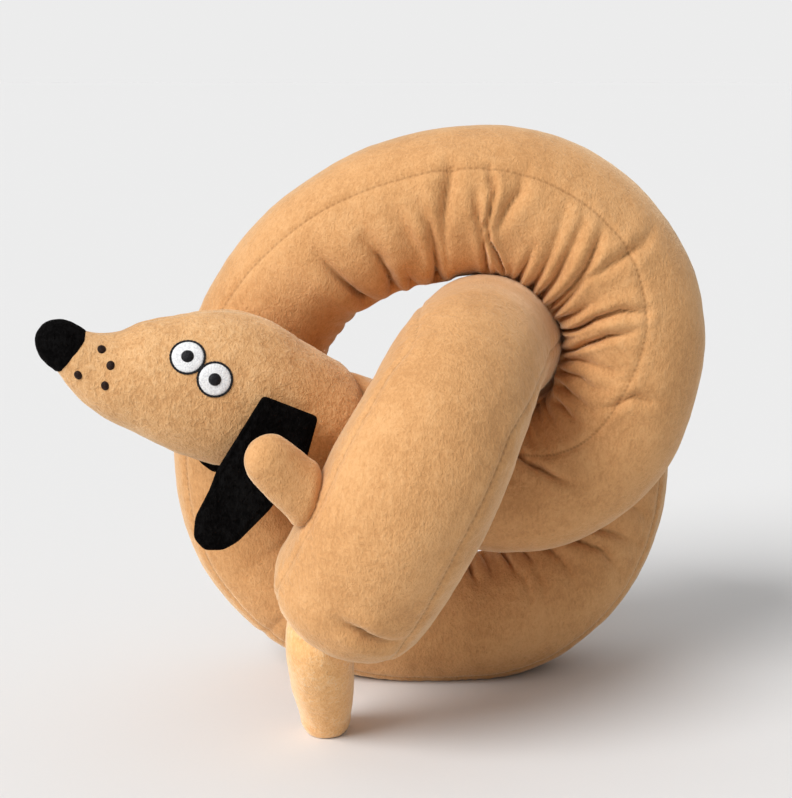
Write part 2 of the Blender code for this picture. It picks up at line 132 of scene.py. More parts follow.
# creases: width, then points along it as distance, degrees round the tube and depth
CREASES = [
    # left shoulder of the upper loop
    (3.8, [(435.5, 336, 0.5), (435.5, 312, 3.4), (434.5, 285, 4.8), (434.5, 262, 5.2)]),
    (3.4, [(414.5, 348, 0.4), (411.5, 334, 1.4), (409.5, 318, 1.8), (407.5, 300, 0.8)]),
    (3.2, [(414.5, 322, 1.0), (411.5, 303, 3.6), (411.5, 284, 4.6), (414.5, 260, 5.0)]),
    (2.6, [(401.5, 284, 1.2), (402.5, 260, 3.4)]),
    (3.2, [(394.5, 335, 0.6), (392.5, 314, 2.4), (390.5, 300, 2.0), (390.5, 284, 0.8)]),
    (3.0, [(383.5, 338, 1.2), (381.5, 318, 3.6), (382.5, 291, 4.6), (385.5, 256, 5.0)]),
    # crown: a box pleat beside the cross seam
    (3.4, [(367.5, 362, 2.0), (370.5, 344, 3.4), (373.5, 326, 3.6), (375.5, 304, 2.8), (376.5, 280, 1.6)]),
    (1.8, [(357.5, 342, 0.8), (356.5, 324, 2.8), (353.5, 303, 3.0), (350.5, 272, 3.4)]),
    (2.8, [(337.5, 362, 0.6), (337.5, 346, 2.8), (341.5, 332, 2.8), (345.5, 315, 1.0)]),
    # right shoulder, where the folds run together under the arch
    (2.4, [(321.5, 312, 0.4), (320.5, 292, 2.4), (319.5, 268, 3.6)]),
    (3.2, [(317.5, 354, 0.4), (314.5, 340, 1.3), (311.5, 320, 2.0), (307.5, 291, 3.2), (305.5, 268, 3.8)]),
    (3.0, [(306.5, 354, 0.6), (304.5, 338, 2.0), (301.5, 316, 2.8), (297.5, 297, 3.6), (294.5, 268, 4.2)]),
    (2.4, [(297.5, 356, 0.8), (293.5, 340, 3.2), (289.5, 326, 3.8), (286.5, 306, 3.6), (282.5, 270, 4.0)]),
    (2.5, [
        (281.5, 394, 0.4), (280.0, 378, 1.9), (280.5, 363, 2.7), (282.5, 338, 1.9), (284.5, 316, 2.0),
        (280.5, 296, 3.2), (275.5, 270, 4.0),
    ]),
    (2.4, [(269.5, 316, 0.5), (268.5, 296, 2.4), (267.5, 272, 3.8)]),
    (2.2, [(254.5, 361, 1.4), (259.5, 338, 3.8), (259.5, 315, 4.4), (253.5, 291, 4.8), (250.5, 268, 4.4)]),
    (2.3, [(247.5, 349, 1.0), (246.5, 327, 3.8), (240.5, 308, 4.6), (233.5, 297, 4.8), (227.5, 280, 4.2)]),
    (3.4, [(225.5, 350, 0.4), (226.5, 326, 2.0), (227.5, 306, 3.2), (222.5, 290, 3.8)]),
    (2.4, [(214.0, 396, 0.3), (215.0, 382, 1.8), (216.0, 369, 2.6), (208.0, 358, 1.6), (203.0, 346, 0.3)]),
    (2.6, [(214.5, 347, 0.3), (213.5, 334, 1.6), (216.5, 316, 3.0), (213.5, 296, 3.8)]),
    (2.8, [(204.5, 306, 3.6), (202.5, 332, 1.8), (199.5, 352, 0.4)]),
    (3.0, [(191.5, 316, 3.0), (188.5, 346, 0.5)]),
    (3.0, [(121, 356, 2.4), (131, 365, 3.8), (143, 370, 4.0), (151, 380, 2.8), (158.5, 388, 0.6)]),
    # lower loop, under the upper one
    (2.2, [(753.5, 224, 4.0), (753.5, 244, 3.8), (755.5, 262, 0.6)]),
    (2.0, [(765.5, 222, 2.6), (765.5, 238, 2.2), (766.5, 254, 0.4)]),
    (2.4, [(784.5, 224, 4.2), (784.5, 242, 4.0), (784.5, 266, 0.8)]),
    (2.0, [(800.5, 236, 3.2), (800.5, 256, 2.4), (799.5, 268, 0.4)]),
    (2.6, [(788.5, 270, 1.6), (784.5, 294, 0.4)]),
    (2.6, [(797.5, 276, 1.6), (793.5, 298, 0.4)]),
    (2.8, [(815.5, 258, 3.6), (814.5, 284, 2.2), (810.5, 308, 0.4)]),
    (2.8, [(827.5, 258, 4.4), (830.5, 286, 4.6), (833.5, 308, 3.8), (829.5, 342, 0.6)]),
    (2.8, [(839.5, 266, 4.0), (841.5, 295, 4.2), (844.5, 316, 2.8), (846.5, 348, 0.5)]),
    (3.0, [(861.5, 318, 2.0), (859.5, 340, 1.6), (856.5, 352, 0.3)]),
    # rump, above the tail
    (3.0, [
        (1231.0, 54, 0.5), (1232.0, 44, 3.0), (1232.5, 36, 4.4), (1234.0, 27, 4.2), (1235.0, 14, 2.6),
        (1234.0, 2, 0.4),
    ]),
    # the cross seam of the crown, which slants and ends at the lengthwise seam
    (1.4, [(351.5, 362, 1.2), (348.5, 342, 2.8), (351.5, 316, 3.0), (349.5, 303, 3.4), (335.5, 276, 3.6)]),
]
# where the creases above stand for the ones that would form on their own
LISTED = [(176, 450), (741, 876)]
# a crease reaches no further along the tube than this
CREASE_REACH = 30.0


# ---------------------------------------------------------------- numbers and paths

def hermite(t):
    """A smooth step from 0 at nought to 1 at one."""
    t = np.clip(t, 0.0, 1.0)
    return t * t * (3 - 2 * t)


def ridge(distance, width):
    """A smooth hump: 1 at no distance and 2% at twice the width."""
    return np.exp(-((distance / width) ** 2))


def neck_dip(distance):
    """The dip in the skin at the seam between head and neck."""
    return NECK_DIP * ridge(distance, NECK_DIP_WIDTH)


def turns(count):
    """Angles evenly round a circle."""
    return np.arange(count) * 2 * math.pi / count


def smooth(rows, times):
    """The rows between the ends, averaged with their neighbours, in place."""
    for _ in range(times):
        rows[1:-1] = 0.25 * rows[:-2] + 0.5 * rows[1:-1] + 0.25 * rows[2:]
    return rows


def catmull(rows, step):
    """The rows joined by a smooth curve."""
    rows = np.array(rows, float)
    rows = np.vstack([2 * rows[0] - rows[1], rows, 2 * rows[-1] - rows[-2]])
    fine = []
    for i in range(1, len(rows) - 2):
        p0, p1, p2, p3 = rows[i - 1 : i + 3]
        count = max(2, round(math.dist(p1[:3], p2[:3]) / step))
        for k in range(count):
            t = k / count
            fine.append(
                0.5 * (2 * p1 + (p2 - p0) * t + (2 * p0 - 5 * p1 + 4 * p2 - p3) * t * t
                       + (3 * p1 - p0 - 3 * p2 + p3) * t ** 3)
            )
    fine.append(rows[-2])
    return np.array(fine)


def unit(v):
    """The vectors at length 1."""
    return v / np.linalg.norm(v, axis=-1, keepdims=True)


class Path:
    """The tube's centre line with a frame that turns as little as it can."""

    def __init__(self, rows):
        fine = smooth(catmull(rows, 2.0), 60)
        self.points = fine[:, :3]
        self.radii = fine[:, 3]
        hops = np.linalg.norm(np.diff(self.points, axis=0), axis=1)
        self.at = np.concatenate([[0.0], np.cumsum(hops)])
        self.length = self.at[-1]
        last = len(fine) - 1
        ahead = np.minimum(np.arange(last + 1) + 1, last)
        behind = np.maximum(np.arange(last + 1) - 1, 0)
        self.tangents = unit(self.points[ahead] - self.points[behind])
        side = np.array((0.0, -1.0, 0.0))
        sides = []
        for tangent in self.tangents:
            side = unit(side - tangent * side.dot(tangent))
            sides.append(side)
        self.sides = np.array(sides)
        self.bends = smooth(np.gradient(self.tangents, self.at, axis=0), 20)

    def mix(self, s, values):
        return np.stack([np.interp(s, self.at, values[:, k]) for k in range(3)], axis=-1)

    def frame(self, s):
        """Centres, tangents, sides, the third axis, radii and bend vectors at the distances s."""
        s = np.clip(s, 0.0, self.length)
        tangent = unit(self.mix(s, self.tangents))
        side = self.mix(s, self.sides)
        side = unit(side - tangent * (side * tangent).sum(-1, keepdims=True))
        radius = np.interp(s, self.at, self.radii)
        return (
            self.mix(s, self.points), tangent, side, np.cross(tangent, side), radius,
            self.mix(s, self.bends),
        )


def roll_at(s):
    """The first seam's turn round the tube, in radians."""
    at, degrees = zip(*SEAM_ROLL)
    return np.radians(np.interp(s, at, degrees))


def lattice_noise(points, size, seed):
    """Smooth value noise from -1 to 1 with features of the given size."""
    q = np.asarray(points, float) / size + seed * 17.17
    cell = np.floor(q).astype(np.int64)
    part = q - cell
    part = part * part * (3 - 2 * part)
    total = np.zeros(q.shape[:-1])
    for corner in range(8):
        bits = np.array([(corner >> k) & 1 for k in range(3)])
        c = cell + bits
        h = (c[..., 0] * 374761393 + c[..., 1] * 668265263 + c[..., 2] * 2147483647
             + seed * 1274126177) & 0xFFFFFFFF
        h = ((h ^ (h >> 13)) * 1274126177) & 0xFFFFFFFF
        h = (h ^ (h >> 16)) & 0xFFFF
        weight = np.prod(np.where(bits == 1, part, 1 - part), axis=-1)
        total += weight * (h / 32767.5 - 1.0)
    return total


# ---------------------------------------------------------------- meshes

def to_metres(points):
    """From the route's millimetres to the part's frame."""
    return (np.asarray(points, float) + CENTRE) * MM


def new_piece(name, points, faces, material):
    """A smooth mesh object with its normals outwards, one material."""
    mesh = bpy.data.meshes.new(name)
    mesh.from_pydata(to_metres(points).tolist(), [], faces)
    mesh.polygons.foreach_set("use_smooth", [True] * len(mesh.polygons))
    obj = bpy.data.objects.new(name, mesh)
    bpy.context.scene.collection.objects.link(obj)
    work = bmesh.new()
    work.from_mesh(mesh)
    bmesh.ops.recalc_face_normals(work, faces=work.faces)
    if work.calc_volume(signed=True) < 0:
        bmesh.ops.reverse_faces(work, faces=work.faces)
    work.to_mesh(mesh)
    work.free()
    mesh.materials.append(material)
    return obj


def grid_faces(rows, columns):
    """Quads of a grid that closes round its columns."""
    faces = []
    for i in range(rows - 1):
        a = i * columns
        b = a + columns
        for k in range(columns):
            n = (k + 1) % columns
            faces.append((a + k, a + n, b + n, b + k))
    return faces


def closed_loft(name, rings, start, end, material):
    """A closed skin through rings, with a middle point at either end."""
    rings = np.asarray(rings, float)
    rows, columns = rings.shape[:2]
    points = np.vstack([rings.reshape(-1, 3), [start], [end]])
    faces = grid_faces(rows, columns)
    first = len(points) - 2
    for k in range(columns):
        n = (k + 1) % columns
        faces.append((n, k, first))
        faces.append(((rows - 1) * columns + k, (rows - 1) * columns + n, first + 1))
    return new_piece(name, points, faces, material)


def store(obj, name, values):
    """A number at each point of the mesh, nought at the ends' middle points."""
    made = obj.data.attributes.new(name, "FLOAT", "POINT")
    whole = np.zeros(len(obj.data.vertices))
    whole[: len(values)] = values
    made.data.foreach_set("value", whole)


def tree_of(*objects):
    """The objects' faces in one tree, for finding places on their skin."""
    verts = []
    faces = []
    for obj in objects:
        base = len(verts)
        verts += [v.co.copy() for v in obj.data.vertices]
        faces += [tuple(base + i for i in p.vertices) for p in obj.data.polygons]
    return BVHTree.FromPolygons(verts, faces)


# ---------------------------------------------------------------- the body tube's skin

def crease_field(s, degrees, radius, lines):
    """Inward folds along lines on the unrolled tube, each with a puffed edge either side."""
    lift = np.zeros(np.broadcast(s, degrees).shape)
    for width, marks in lines:
        marks = np.array(marks, float)
        low, high = marks[:, 0].min() - CREASE_REACH, marks[:, 0].max() + CREASE_REACH
        rows = np.where((s[:, 0] > low) & (s[:, 0] < high))[0]
        away = np.full((len(rows), degrees.size), FAR)
        depth = np.zeros(away.shape)
        for (s1, a1, d1), (s2, a2, d2) in zip(marks, marks[1:]):
            x = s[rows] - s1
            y = np.radians((degrees - a1 + 180.0) % 360.0 - 180.0) * radius[rows]
            to_x = s2 - s1
            to_y = math.radians(a2 - a1) * radius[rows]
            t = np.clip((x * to_x + y * to_y) / (to_x ** 2 + to_y ** 2), 0.0, 1.0)
            off = np.hypot(x - t * to_x, y - t * to_y)
            depth = np.where(off < away, d1 + (d2 - d1) * t, depth)
            away = np.minimum(off, away)
        lift[rows] -= depth * (0.55 * ridge(away, width) + 0.45 * ridge(away, 0.45 * width))
        lift[rows] += 0.36 * depth * ridge(away - 2.3 * width, 1.5 * width)
    return lift


def own_creases():
    """Folds on the inside of each bend, where no listed crease lies."""
    rng = np.random.default_rng(11)
    made = []
    s = 18.0
    while s < PATH.length - 90.0:
        if any(low < s < high for low, high in LISTED):
            s += 4.0
            continue
        _, _, side, other, radius, bend = (v[0] for v in PATH.frame(np.array([s])))
        strength = np.linalg.norm(bend) * radius
        if strength > 0.22:
            towards = math.degrees(math.atan2(bend.dot(other), bend.dot(side)))
            middle = towards - math.degrees(roll_at(s)) + rng.uniform(-14, 14)
            half = rng.uniform(34, 72) * min(1.3, strength / 0.36)
            depth = rng.uniform(0.7, 2.2) * min(1.3, (strength - 0.12) / 0.25)
            slant = rng.uniform(-5, 5)
            width = rng.uniform(2.4, 3.4)
            ends = [(s - slant, middle - half, 0.15), (s + slant, middle + half, 0.15)]
            made.append((width, [ends[0], (s, middle, depth), ends[1]]))
        s += rng.uniform(8.5, 15.5)
    return made


def contact_bulge(points, s, own):
    """How far the skin may swell towards a neighbouring strand before they meet half way."""
    sample_s = np.arange(0.0, PATH.length, 4.0)
    centres, _, _, _, radii, _ = PATH.frame(sample_s)
    flat = points.reshape(-1, 3)
    s_flat = np.repeat(s, points.shape[1])
    nearest = np.full(len(flat), FAR)
    for start in range(0, len(flat), 8000):
        part = slice(start, start + 8000)
        gap = np.linalg.norm(flat[part, None] - centres[None], axis=2) - radii[None]
        gap[np.abs(s_flat[part, None] - sample_s[None]) < SAME_STRAND] = FAR
        nearest[part] = gap.min(axis=1)
    nearest = nearest.reshape(points.shape[:2])
    swell = np.minimum((nearest - 0.3) / 2, own)
    return swell * (1 - hermite((nearest - 6.0) / 16.0))


def give_way(base, s):
    """How far the upper loop is dented beside the head, which turns towards it."""
    cheek, nape = (np.array(HEAD[k][:3], float) for k in (4, 7))
    share = np.clip((base - cheek) @ (nape - cheek) / ((nape - cheek) ** 2).sum(), 0.0, 1.0)
    room = np.linalg.norm(base - cheek - share[..., None] * (nape - cheek), axis=2) - HEAD[7][4]
    beside = ((s > BESIDE_HEAD[0]) & (s < BESIDE_HEAD[1]))[:, None]
    return 2.0 * beside * (1 - hermite((room - 2.0) / 14.0))


def tube_skin():
    """Rings of the plush skin of the whole tube, its normals, fold depths and distances."""
    count = round((PATH.length - NECK_AT) / TUBE_STEP)
    s = np.linspace(NECK_AT, PATH.length, count + 1)
    extra = np.radians(np.linspace(0, 88, 30)[1:])
    dome = np.concatenate([np.zeros(len(s)), extra])
    s = np.concatenate([s, np.full(len(extra), PATH.length)])
    centre, tangent, side, other, radius, _ = PATH.frame(s)
    centre = centre + tangent * (radius * RUMP_DOME * np.sin(dome))[:, None]
    degrees = np.arange(TUBE_SIDES) * 360.0 / TUBE_SIDES
    angle = np.radians(degrees)[None, :] + roll_at(s)[:, None]
    out = side[:, None] * np.cos(angle)[..., None] + other[:, None] * np.sin(angle)[..., None]
    ring = (radius * np.cos(dome))[:, None]
    slope = dome[:, None, None]
    face_out = unit(out * np.cos(slope) + tangent[:, None] * np.sin(slope))
    base = centre[:, None] + out * ring[..., None]
    # distance along the skin, which goes on over the dome
    skin_s = (s + radius * dome * 0.9)[:, None]
    fold = crease_field(skin_s, degrees[None, :], radius[:, None], CREASES + AUTO)
    lift = fold.copy()
    seams = np.zeros(lift.shape)
    for seam in (0.0, np.interp(skin_s, *zip(*SECOND_SEAM))):
        turn = (degrees[None, :] - seam + 180.0) % 360.0 - 180.0
        off = np.radians(turn) * ring
        seams = np.maximum(seams, 1.0 - np.abs(off) / SEAM_REACH)
        pucker = 0.22 * np.sin(skin_s * 1.15 + 2.0 * np.sin(skin_s * 0.21))
        lift += (0.32 + pucker) * ridge(np.abs(off) - 4.2, 2.6) - 0.7 * ridge(off, 1.1)
    off = skin_s - FLOOR_SEAM
    lift = lift - 0.7 * ridge(off, 1.6)
    lift = lift + 0.2 * ridge(np.abs(off) - 4.5, 3.0)
    lift = lift - neck_dip(skin_s - NECK_AT)
    lift = lift + 0.75 * lattice_noise(base, 34.0, 3) + 0.35 * lattice_noise(base, 13.0, 5)
    lift = lift + 0.16 * lattice_noise(base, 4.2, 7)
    lift = lift + contact_bulge(base, s, OWN_SWELL)
    lift = lift - give_way(base, s)
    points = base + face_out * lift[..., None]
    points[..., 2] = np.maximum(points[..., 2], 0.0)
    down = np.gradient(points, axis=0)
    across = np.roll(points, -1, axis=1) - np.roll(points, 1, axis=1)
    normals = unit(np.cross(across, down))
    flip = np.sign((normals * face_out).sum(-1))[..., None]
    return s, points, normals * flip, np.maximum(-fold, 0.0), np.maximum(seams, 0.0), skin_s


def tube_piece(name, start, end):
    """One sewn length of the skin, whose shading runs on into the next."""
    rows = np.where((SKIN_S >= start - 0.01) & (SKIN_S <= end + 0.01))[0]
    rings = SKIN[rows]
    obj = closed_loft(
        name, rings, rings[0].mean(axis=0), rings[-1].mean(axis=0), PLUSH
    )
    # the folds' depths, which paint shade into the plush's colour
    store(obj, "fold", SKIN_FOLDS[rows].ravel())
    # nearness to a seam, for the painted shade along its groove
    store(obj, "seam", SKIN_SEAMS[rows].ravel())
    store(obj, "run", np.repeat(SKIN_RUN[rows], TUBE_SIDES))
    normals = [tuple(n) for n in SKIN_NORMALS[rows].reshape(-1, 3)]
    normals += [(0.0, 0.0, 0.0)] * (len(obj.data.vertices) - len(normals))
    obj.data.normals_split_custom_set_from_vertices(normals)
    return obj


# ---------------------------------------------------------------- materials

class Graph:
    """Short names for building a node tree."""

    def __init__(self, name):
        self.mat = bpy.data.materials.new(name)
        self.mat.use_nodes = True
        self.tree = self.mat.node_tree
        self.shader = self.tree.nodes["Principled BSDF"]
        self.place = self.node("ShaderNodeTexCoord").outputs["Object"]

    def node(self, kind, **settings):
        made = self.tree.nodes.new(kind)
        for key, value in settings.items():
            setattr(made, key, value)
        return made

    def put(self, socket, value):
        if isinstance(value, bpy.types.NodeSocket):
            self.tree.links.new(value, socket)
        else:
            socket.default_value = value

    def noise(self, scale, detail=3.0, rough=0.55, stretch=None, distortion=0.0, turn=0.0):
        place = self.place
        if stretch:
            mapping = self.node("ShaderNodeMapping")
            self.put(mapping.inputs["Vector"], place)
            mapping.inputs["Rotation"].default_value = (0.0, turn, 0.0)
            mapping.inputs["Scale"].default_value = stretch
            place = mapping.outputs["Vector"]
        made = self.node("ShaderNodeTexNoise")
        self.put(made.inputs["Vector"], place)
        made.inputs["Scale"].default_value = scale
        made.inputs["Detail"].default_value = detail
        made.inputs["Roughness"].default_value = rough
        made.inputs["Distortion"].default_value = distortion
        return made.outputs["Fac"]

    def stored(self, name):
        return self.node("ShaderNodeAttribute", attribute_name=name).outputs["Fac"]

    def ramp(self, value, low, high, out_low=0.0, out_high=1.0):
        made = self.node("ShaderNodeMapRange")
        self.put(made.inputs["Value"], value)
        made.inputs["From Min"].default_value = low
        made.inputs["From Max"].default_value = high
        made.inputs["To Min"].default_value = out_low
        made.inputs["To Max"].default_value = out_high
        return made.outputs["Result"]

    def math(self, operation, a, b):
        made = self.node("ShaderNodeMath", operation=operation)
        self.put(made.inputs[0], a)
        self.put(made.inputs[1], b)
        return made.outputs[0]

    def mix(self, share, a, b):
        made = self.node("ShaderNodeMix", data_type="RGBA")
        self.put(made.inputs["Factor"], share)
        self.put(made.inputs["A"], a if isinstance(a, bpy.types.NodeSocket) else (*a, 1.0))
        self.put(made.inputs["B"], b if isinstance(b, bpy.types.NodeSocket) else (*b, 1.0))
        return made.outputs["Result"]

    def bump(self, height, distance, strength=1.0, below=None):
        made = self.node("ShaderNodeBump")
        self.put(made.inputs["Height"], height)
        made.inputs["Distance"].default_value = distance
        made.inputs["Strength"].default_value = strength
        if below is not None:
            self.put(made.inputs["Normal"], below)
        return made.outputs["Normal"]

    def facing(self, blend):
        made = self.node("ShaderNodeLayerWeight")
        made.inputs["Blend"].default_value = blend
        return made.outputs["Facing"]

    def finish(self, colour, roughness, normal, **sockets):
        self.put(self.shader.inputs["Base Color"], colour)
        self.put(self.shader.inputs["Roughness"], roughness)
        self.put(self.shader.inputs["Normal"], normal)
        for key, value in sockets.items():
            self.put(self.shader.inputs[key.replace("_", " ")], value)
        return self.mat


def plush(name, painted_shade, dark, base, light, painted_rim_and_sheen_tint, nub, sheen=0.8, shine=0.1, clump=330):
    """Short pile: fibres, clumps, brushed patches, a pale rim of painted sheen, painted shade in the
    folds, and painted shade along the seams' grooves in dashes at the stitches.
    """
    g = Graph(name)
    brushed = g.noise(26, 2, 0.5)
    patches = g.noise(85, 3, 0.6, distortion=0.4)
    streaks = g.noise(520, 2, 0.6, stretch=(1.0, 1.0, 0.3), turn=math.radians(38))
    clumps = g.noise(clump, 3, 0.7, distortion=0.6)
    fibres = g.noise(950, 2, 0.7, stretch=(1.0, 1.0, 0.6))
    tone = g.math("MULTIPLY", brushed, 0.26)
    for part, share in ((patches, 0.20), (streaks, 0.18), (clumps, 0.5 * nub), (fibres, 0.30)):
        tone = g.math("ADD", tone, g.math("MULTIPLY", part, share))
    middle = 0.5 * (0.94 + 0.5 * nub)
    colour = g.mix(g.ramp(tone, middle - 0.08, middle), dark, base)
    colour = g.mix(g.ramp(tone, middle, middle + 0.08), colour, light)
    # painted sheen: a pale rim mixed into the colour where the surface turns away from the view; the same
    # colour also tints the shader's own sheen
    colour = g.mix(g.ramp(g.facing(0.3), 0.45, 1.0, 0.0, 0.5), colour, painted_rim_and_sheen_tint)
    # painted shade in the folds: the deeper the fold, the nearer the colour goes to the shade colour
    colour = g.mix(g.ramp(g.stored("fold"), 1.3, 4.8, 0.0, 0.8), colour, painted_shade)
    # painted shade along the seams' grooves, in dashes at the stitches
    stitches = g.math("SINE", g.math("MULTIPLY", g.stored("run"), STITCHES), 0.0)
    dashes = g.ramp(stitches, -1, 1, 0.12, 0.36)
    line = g.math("MULTIPLY", g.ramp(g.stored("seam"), 0.66, 0.92), dashes)
    colour = g.mix(line, colour, painted_shade)
    normal = g.bump(brushed, 0.0012, 0.35)
    normal = g.bump(patches, 0.0010, 0.4, normal)
    normal = g.bump(clumps, 0.0014, nub, normal)
    normal = g.bump(streaks, 0.0004, 0.5, normal)
    normal = g.bump(fibres, 0.0008, 0.7, normal)
    rough = g.ramp(clumps, 0.3, 0.7, 0.95, 0.8)
    return g.finish(
        colour, rough, normal, Sheen_Weight=sheen, Sheen_Roughness=0.4,
        Sheen_Tint=(*painted_rim_and_sheen_tint, 1.0), Specular_IOR_Level=shine,
    )


def thread(name, dark, light, scale, shine=0.15):
    """Satin stitch: fine parallel threads with a soft shine."""
    g = Graph(name)
    strands = g.noise(scale, 2, 0.5, stretch=(1.0, 0.25, 1.0))
    fuzz = g.noise(2600, 1, 0.5)
    colour = g.mix(g.ramp(strands, 0.35, 0.62), dark, light)
    normal = g.bump(strands, 0.0004, 0.8)
    normal = g.bump(fuzz, 0.0001, 0.5, normal)
    return g.finish(
        colour, g.ramp(strands, 0.3, 0.7, 0.62, 0.42), normal,
        Sheen_Weight=shine, Specular_IOR_Level=0.15 + shine,
    )


# ---------------------------------------------------------------- build

for old in list(bpy.data.objects):
    bpy.data.objects.remove(old, do_unlink=True)
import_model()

PLUSH = plush(
    "plush_tan", (0.13, 0.042, 0.009), (0.585, 0.295, 0.117), (0.675, 0.355, 0.147),
    (0.735, 0.405, 0.178), (0.96, 0.73, 0.49), nub=0.36,
)
PLUSH_NUBBY = plush(
    "plush_tan_nubby", (0.13, 0.042, 0.009), (0.62, 0.325, 0.135), (0.735, 0.415, 0.185),
    (0.81, 0.485, 0.235), (0.97, 0.76, 0.53), nub=0.6, clump=270,
)
# a paler copy of the tan plush for the tail: painted light, brighter than the lamps light the tail
PLUSH_PAINTED_LIT = plush(
    "plush_tan_painted_lit", (0.13, 0.042, 0.009), (0.84, 0.44, 0.17), (0.93, 0.53, 0.225),
    (0.94, 0.61, 0.33), (0.98, 0.80, 0.60), nub=0.5, clump=270,
)
BLACK = plush(
    "plush_black", (0.001, 0.001, 0.001), (0.0018, 0.0016, 0.0016), (0.0032, 0.0028, 0.0028),
    (0.006, 0.0056, 0.0056), (0.010, 0.0095, 0.0095), nub=0.8, sheen=0.01, shine=0.02,
)
WHITE = thread("thread_white", (0.70, 0.70, 0.72), (0.92, 0.92, 0.91), 1500)
INK = thread("thread_black", (0.003, 0.003, 0.004), (0.010, 0.010, 0.013), 1500, shine=0.05)
BROWN = thread("thread_brown", (0.008, 0.003, 0.002), (0.028, 0.010, 0.005), 1700, shine=0.0)

PATH = Path(ROUTE)
AUTO = own_creases()

# the body tube, in four sewn lengths
SKIN_S, SKIN, SKIN_NORMALS, SKIN_FOLDS, SKIN_SEAMS, SKIN_RUN = tube_skin()
joins = [SKIN_S[np.abs(SKIN_S - at).argmin()] for at in (CROWN_SEAM, FLOOR_SEAM, HIDDEN_SEAM)]
neck_tube = tube_piece("body_neck_length", NECK_AT, joins[0])
loop_tube = tube_piece("body_loop_length", joins[0], joins[1])
middle_tube = tube_piece("body_middle_length", joins[1], joins[2])
rump_tube = tube_piece("body_rump_length", joins[2], PATH.length)
BODY_TREE = tree_of(neck_tube, loop_tube, middle_tube, rump_tube)


def head_rings():
    """Sections of the head from the muzzle to the neck seam, evenly spaced."""
    centre, tangent, _, _, radius, _ = (v[0] for v in PATH.frame(np.array([NECK_AT])))
    rows = [list(row) for row in HEAD]
    rows.append([*(centre - tangent * 7.5), radius + 0.6, radius + 0.2])
    rows.append([*centre, radius, radius])
    fine = smooth(catmull(rows, 1.8), 12)
    middle = fine[:, :3]
    ahead = np.minimum(np.arange(len(fine)) + 1, len(fine) - 1)
    behind = np.maximum(np.arange(len(fine)) - 1, 0)
    along = unit(middle[ahead] - middle[behind])
    # the last sections turn to lie in the neck seam's plane
    left = np.linalg.norm(middle - centre, axis=1)
    share = (1 - hermite(left / HEAD_TURN))[:, None]
    along = unit(along * (1 - share) + tangent * share)
    near = unit(np.cross(along, (0.0, 0.0, 1.0)))
    near = np.where(near[:, 1:2] > 0, -near, near)
    up = unit(np.cross(near, along))
    up = np.where(up[:, 2:3] < 0, -up, up)
    angle = turns(HEAD_SIDES)
    out = up[:, None] * np.cos(angle)[None, :, None] * fine[:, 3, None, None]
    out = out + near[:, None] * np.sin(angle)[None, :, None] * fine[:, 4, None, None]
    base = middle[:, None] + out
    face_out = unit(out)
    reach = left[:, None]
    lift = -neck_dip(reach) * np.ones((1, len(angle)))
    # crown and jaw seams
    for seam in (0.0, math.pi):
        turn = (angle - seam + math.pi) % (2 * math.pi) - math.pi
        off = turn[None, :] * fine[:, 3:4]
        lift = lift - 0.7 * ridge(off, 1.4) + 0.25 * ridge(np.abs(off) - 4, 3)
    lift = lift + 0.5 * lattice_noise(base, 22.0, 21) + 0.3 * lattice_noise(base, 9.0, 22)
    lift = lift + 0.22 * lattice_noise(base, 3.6, 23)
    # the far side is a little flatter, where the loop lies beside it
    lift = lift - 1.3 * np.clip(-np.sin(angle), 0.0, 1.0) ** 2 * hermite(reach / 20.0)
    return base + face_out * lift[..., None], along[0], near[0], up[0], middle[0]


HEAD_RINGS, MUZZLE_DIR, MUZZLE_NEAR, MUZZLE_UP, MUZZLE = head_rings()
head = closed_loft(
    "head_plush", HEAD_RINGS, MUZZLE - MUZZLE_DIR * 0.5, PATH.frame(np.array([NECK_AT]))[0][0],
    PLUSH_NUBBY,
)
HEAD_TREE = tree_of(head)


def nose_cap():
    """A rounded black cap over the muzzle's end, a little wider than the fur it sits on."""
    rings = []
    ring = turns(NOSE_SIDES)
    for t in np.linspace(0.0, 1.0, 34):
        along = -3.0 + 20.2 * t
        size = 12.1 * (1 - t ** 2.7) ** (1 / 2.1) if t < 1 else 0.0
        if t < 0.12:
            size *= 0.90 + 0.10 * hermite(t / 0.12)
        middle = MUZZLE - MUZZLE_DIR * along
        row = middle + size * (
            MUZZLE_UP * np.cos(ring)[:, None] + MUZZLE_NEAR * np.sin(ring)[:, None]
        )
        rings.append(row)
    rings = np.array(rings[:-1])
    out = unit(rings - rings.mean(axis=1, keepdims=True))
    rough = 0.25 * lattice_noise(rings, 3.2, 31) + 0.3 * lattice_noise(rings, 8.0, 32)
    rings = rings + out * rough[..., None]
    # the pile's edge is uneven where the cap ends
    tufts = 1.3 * lattice_noise(rings[:4], 2.6, 33) * np.linspace(1.0, 0.3, 4)[:, None]
    rings[:4] += MUZZLE_DIR * tufts[..., None]
    tip = MUZZLE - MUZZLE_DIR * 17.2
    return closed_loft("nose_cap", rings, MUZZLE + MUZZLE_DIR * 2.0, tip, BLACK)


nose = nose_cap()


def on_head(point, normal, height):
    """The point moved along the normal to the given height over the head's skin."""
    start = Vector(to_metres(point)) + Vector(normal) * 0.02
    found = HEAD_TREE.ray_cast(start, -Vector(normal))[0]
    return np.array(found) / MM - CENTRE + np.asarray(normal) * height


